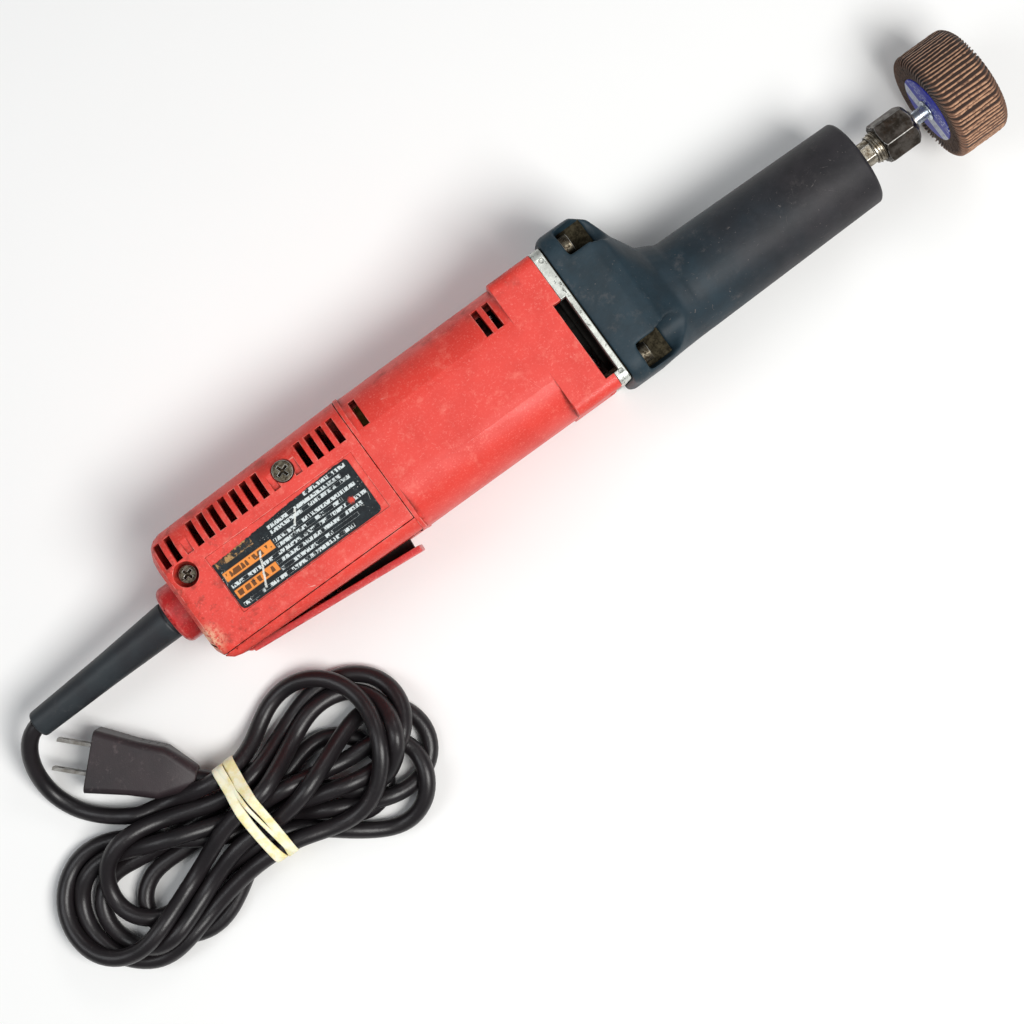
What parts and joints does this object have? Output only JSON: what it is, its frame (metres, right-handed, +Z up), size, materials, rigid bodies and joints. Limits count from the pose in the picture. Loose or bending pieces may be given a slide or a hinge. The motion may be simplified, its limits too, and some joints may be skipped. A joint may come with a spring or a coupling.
{
  "type": "die grinder",
  "caption": "Corded straight die grinder with a paddle switch, geared spindle, collet and flap wheel, its cord tied in a hank with a two-blade plug.",
  "frame": {"origin": "on the flat resting side, below the motor axis, in line with the joint between the rear cover and the motor housing", "axes": "+X along the spindle towards the flap wheel, +Z up from the resting side, the paddle on the -Y side"},
  "size_m": [0.5343, 0.1672, 0.07],
  "materials": {
    "red_plastic": "moulded, scuffed",
    "collar_plastic": "smooth moulded",
    "black_rubber": "matt",
    "boot_rubber": "fine grained",
    "black_plastic": "moulded",
    "label_film": "printed film, worn",
    "zinc_steel": "zinc plated",
    "screw_steel": "dull, oily",
    "bearing_steel": "ground",
    "gear_steel": "hobbed and hardened",
    "spindle_steel": "oil stained",
    "nut_steel": "dark oxide, worn at the corners",
    "laminations": "stacked sheet",
    "copper": "enamelled copper",
    "brass": "plain",
    "carbon": "pressed carbon",
    "plate_metal": "light grey casting, dusty",
    "case_metal": "cast, oil stained",
    "wheel_resin": "cast resin",
    "abrasive_cloth": "grit coated cloth",
    "blue_paper": "printed paper ring",
    "white_plastic": "moulded",
    "wire_cover": "insulated wire",
    "cord_rubber": "rubber jacket, dusty",
    "plug_rubber": "moulded, dusty",
    "band_rubber": "natural rubber"
  },
  "bodies": {
    "housing": {"motor_housing": "red_plastic", "rear_cover": "red_plastic", "cover_screws": "zinc_steel", "rating_label": "label_film", "cord_collar": "collar_plastic", "strain_relief": "black_rubber", "cord_clamp": "black_plastic", "clamp_screws": "zinc_steel", "supply_cord": "cord_rubber", "supply_leads": "wire_cover", "switch_body": "black_plastic", "brush_leads": "wire_cover", "paddle_pin": "zinc_steel", "brush_holders": "brass", "carbon_brushes": "carbon", "brush_springs": "zinc_steel", "rear_bearing": "bearing_steel", "bearing_sleeve": "black_rubber", "field_core": "laminations", "field_coils": "copper", "fan_baffle": "black_plastic", "bearing_plate": "plate_metal", "armature_bearing": "bearing_steel", "gear_case": "case_metal", "case_screws": "screw_steel", "boot": "boot_rubber", "spindle_rear_bearing": "bearing_steel", "spindle_front_bearing": "bearing_steel", "spindle_seal": "black_rubber", "cord_lead": "cord_rubber", "cord_hank": "cord_rubber", "cord_tie": "band_rubber", "cord_tail": "cord_rubber", "plug_body": "plug_rubber", "plug_blades": "brass"},
    "armature": {"armature_shaft": "bearing_steel", "commutator": "copper", "armature_core": "laminations", "armature_winding": "copper", "cooling_fan": "black_plastic", "pinion": "gear_steel"},
    "spindle": {"spindle_shaft": "spindle_steel", "spindle_gear": "gear_steel", "gear_key": "gear_steel"},
    "collet": {"collet": "spindle_steel"},
    "collet_nut": {"collet_nut": "nut_steel"},
    "flap_wheel": {"wheel_shank": "zinc_steel", "wheel_core": "wheel_resin", "wheel_flaps": "abrasive_cloth", "wheel_label": "blue_paper", "wheel_rivet": "zinc_steel"},
    "paddle": {"paddle_lever": "red_plastic", "paddle_pad": "black_rubber"},
    "plunger": {"switch_plunger": "white_plastic"}
  },
  "joints": [
    {"name": "armature_spin", "type": "hinge", "parent": "housing", "child": "armature", "pos_m": [0, 0, 0.035], "axis": [1, 0, 0], "continuous": true},
    {"name": "spindle_spin", "type": "hinge", "parent": "housing", "child": "spindle", "pos_m": [0, -0.014, 0.035], "axis": [1, 0, 0], "continuous": true},
    {"name": "collet_release", "type": "slide", "parent": "spindle", "child": "collet", "axis": [1, 0, 0], "range_m": [0, 0.003]},
    {"name": "nut_turn", "type": "hinge", "parent": "collet", "child": "collet_nut", "pos_m": [0.26, -0.014, 0.035], "axis": [1, 0, 0], "range_deg": [0, 720]},
    {"name": "wheel_pull", "type": "slide", "parent": "collet", "child": "flap_wheel", "axis": [1, 0, 0], "range_m": [0, 0.03]},
    {"name": "paddle_press", "type": "hinge", "parent": "housing", "child": "paddle", "pos_m": [-0.088, -0.029, 0.035], "axis": [0, 0, 1], "range_deg": [0, 5], "stiffness_Nm_per_rad": 2, "springref_deg": -2.86},
    {"name": "plunger_press", "type": "slide", "parent": "housing", "child": "plunger", "axis": [0, 1, 0], "range_m": [0, 0.0034]}
  ],
  "couplings": [
    {"joint": "spindle_spin", "follows": "armature_spin", "ratio": -0.75},
    {"joint": "nut_turn", "follows": "collet_release", "rad_per_m": 4188.8},
    {"joint": "plunger_press", "follows": "paddle_press", "m_per_rad": 0.038}
  ]
}
